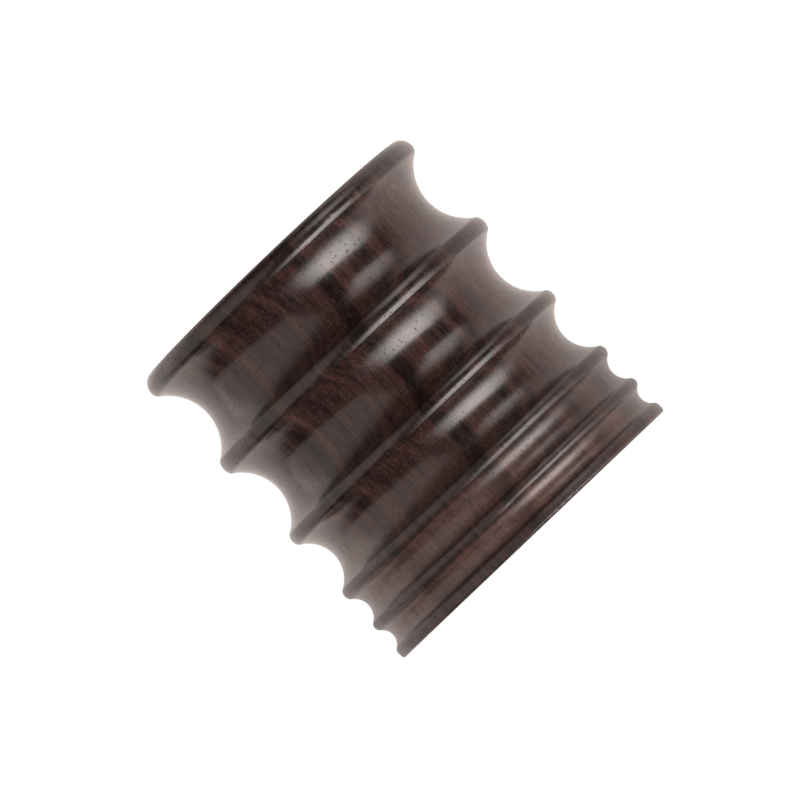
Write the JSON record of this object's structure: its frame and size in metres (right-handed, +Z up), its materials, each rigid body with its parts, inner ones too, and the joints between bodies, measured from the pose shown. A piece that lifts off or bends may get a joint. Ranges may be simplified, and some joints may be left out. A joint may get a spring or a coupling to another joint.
{
  "type": "dip pen holder",
  "caption": "Turned hardwood desk block, ringed by graduated coves and beads, with brass-lined sockets in its top for dip pens.",
  "frame": {"origin": "centre of the base, on the surface it stands on", "axes": "+Z up along the turning axis, towards the lip; the first ring socket lies towards +Y"},
  "size_m": [0.06, 0.06, 0.0633],
  "materials": {
    "rosewood": "polished",
    "brass": "satin",
    "ballast_steel": "zinc plated",
    "screw_steel": "zinc plated",
    "cork": "matte"
  },
  "bodies": {
    "root": {"turned_body": "rosewood", "centre_sleeve": "brass", "ring_sleeve_1": "brass", "ring_sleeve_2": "brass", "ring_sleeve_3": "brass", "ring_sleeve_4": "brass", "ring_sleeve_5": "brass", "ballast_disc": "ballast_steel", "ballast_screw": "screw_steel", "base_pad": "cork"}
  },
  "joints": []
}
